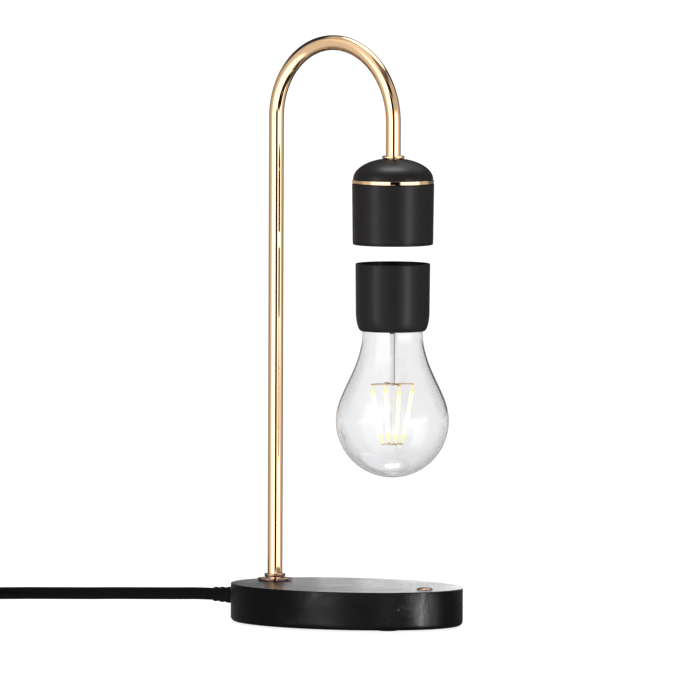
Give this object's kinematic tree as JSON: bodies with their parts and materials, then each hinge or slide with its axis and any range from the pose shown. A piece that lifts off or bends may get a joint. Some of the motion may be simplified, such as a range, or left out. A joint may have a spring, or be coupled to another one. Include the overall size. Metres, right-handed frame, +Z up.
{
  "type": "levitating lamp",
  "caption": "Table lamp with an oval base, a hooked metal tube and a magnet head under which a clear filament bulb floats and spins, with its lead and plug-in adapter.",
  "frame": {"origin": "middle of the oval base's footprint, on the surface that the lamp stands on", "axes": "+Z up, +X along the oval base from the tube's foot to the power button, +Y across the base; the lead leaves at -X"},
  "size_m": [0.4891, 0.1396, 0.313],
  "materials": {
    "black_wood": "black stained wood with a fine satin grain",
    "satin_black": "matte charcoal black",
    "rose_gold": "polished and plated light rose gold",
    "steel": "plain zinc grey",
    "copper": "lacquered copper wire",
    "ferrite": "dark grey sintered",
    "magnet_nickel": "nickel plated",
    "circuit_board": "green lacquer",
    "white_plastic": "moulded",
    "rubber": "black moulded",
    "cord_black": "black satin cord sheath",
    "case_black": "fine moulded black",
    "clear_glass": "clear",
    "filament_glow": "yellow phosphor over a lit filament",
    "cross_wire": "thin bright wire"
  },
  "bodies": {
    "lamp": {"base_shell": "black_wood", "bottom_plate": "case_black", "rubber_foot_1": "rubber", "rubber_foot_2": "rubber", "rubber_foot_3": "rubber", "rubber_foot_4": "rubber", "plate_screw_1": "steel", "plate_screw_2": "steel", "plate_screw_3": "steel", "plate_screw_4": "steel", "ballast_plate": "steel", "main_board": "circuit_board", "charging_coil": "copper", "charging_ferrite": "ferrite", "button_switch": "case_black", "hook_tube": "rose_gold", "tube_flange": "rose_gold", "tube_collar": "rose_gold", "tube_nut": "steel", "head_nut": "steel", "tube_wiring": "cord_black", "head_collar": "rose_gold", "head_dome": "satin_black", "head_trim_ring": "rose_gold", "head_shell": "satin_black", "sensor_board": "circuit_board", "transmit_coil": "copper", "lift_spool": "white_plastic", "lift_winding": "copper", "lift_core": "steel", "control_board": "circuit_board", "inner_lead": "cord_black", "cord_boot": "rubber", "power_cord": "cord_black", "cord_coil": "cord_black", "cord_tail": "cord_black", "coil_tie": "rubber", "adapter_boot": "rubber", "adapter_case": "case_black", "adapter_cover": "case_black", "adapter_board": "circuit_board", "adapter_blade_1": "steel", "adapter_blade_2": "steel"},
    "button": {"power_button": "rose_gold"},
    "float": {"float_magnet": "magnet_nickel"},
    "bulb": {"bulb_cup": "satin_black", "cup_lid": "case_black", "receive_coil": "copper", "magnet_holder": "white_plastic", "driver_board": "circuit_board", "bulb_glass": "clear_glass", "stem_glass": "clear_glass", "upper_cross": "cross_wire", "lower_cross": "cross_wire", "filament_1": "filament_glow", "filament_2": "filament_glow", "filament_3": "filament_glow", "filament_4": "filament_glow", "filament_lead_1": "cross_wire", "filament_lead_2": "cross_wire"}
  },
  "joints": [
    {"name": "button_press", "type": "slide", "parent": "lamp", "child": "button", "axis": [0, 0, -1], "range_m": [0, 0.0005], "stiffness_N_per_m": 300},
    {"name": "bulb_float", "type": "slide", "parent": "lamp", "child": "float", "axis": [0, 0, 1], "range_m": [-0.058, 0.0096], "stiffness_N_per_m": 200, "springref_m": 0.004},
    {"name": "bulb_spin", "type": "hinge", "parent": "float", "child": "bulb", "pos_m": [0.0315, 0, 0.1754], "axis": [0, 0, 1], "continuous": true}
  ]
}
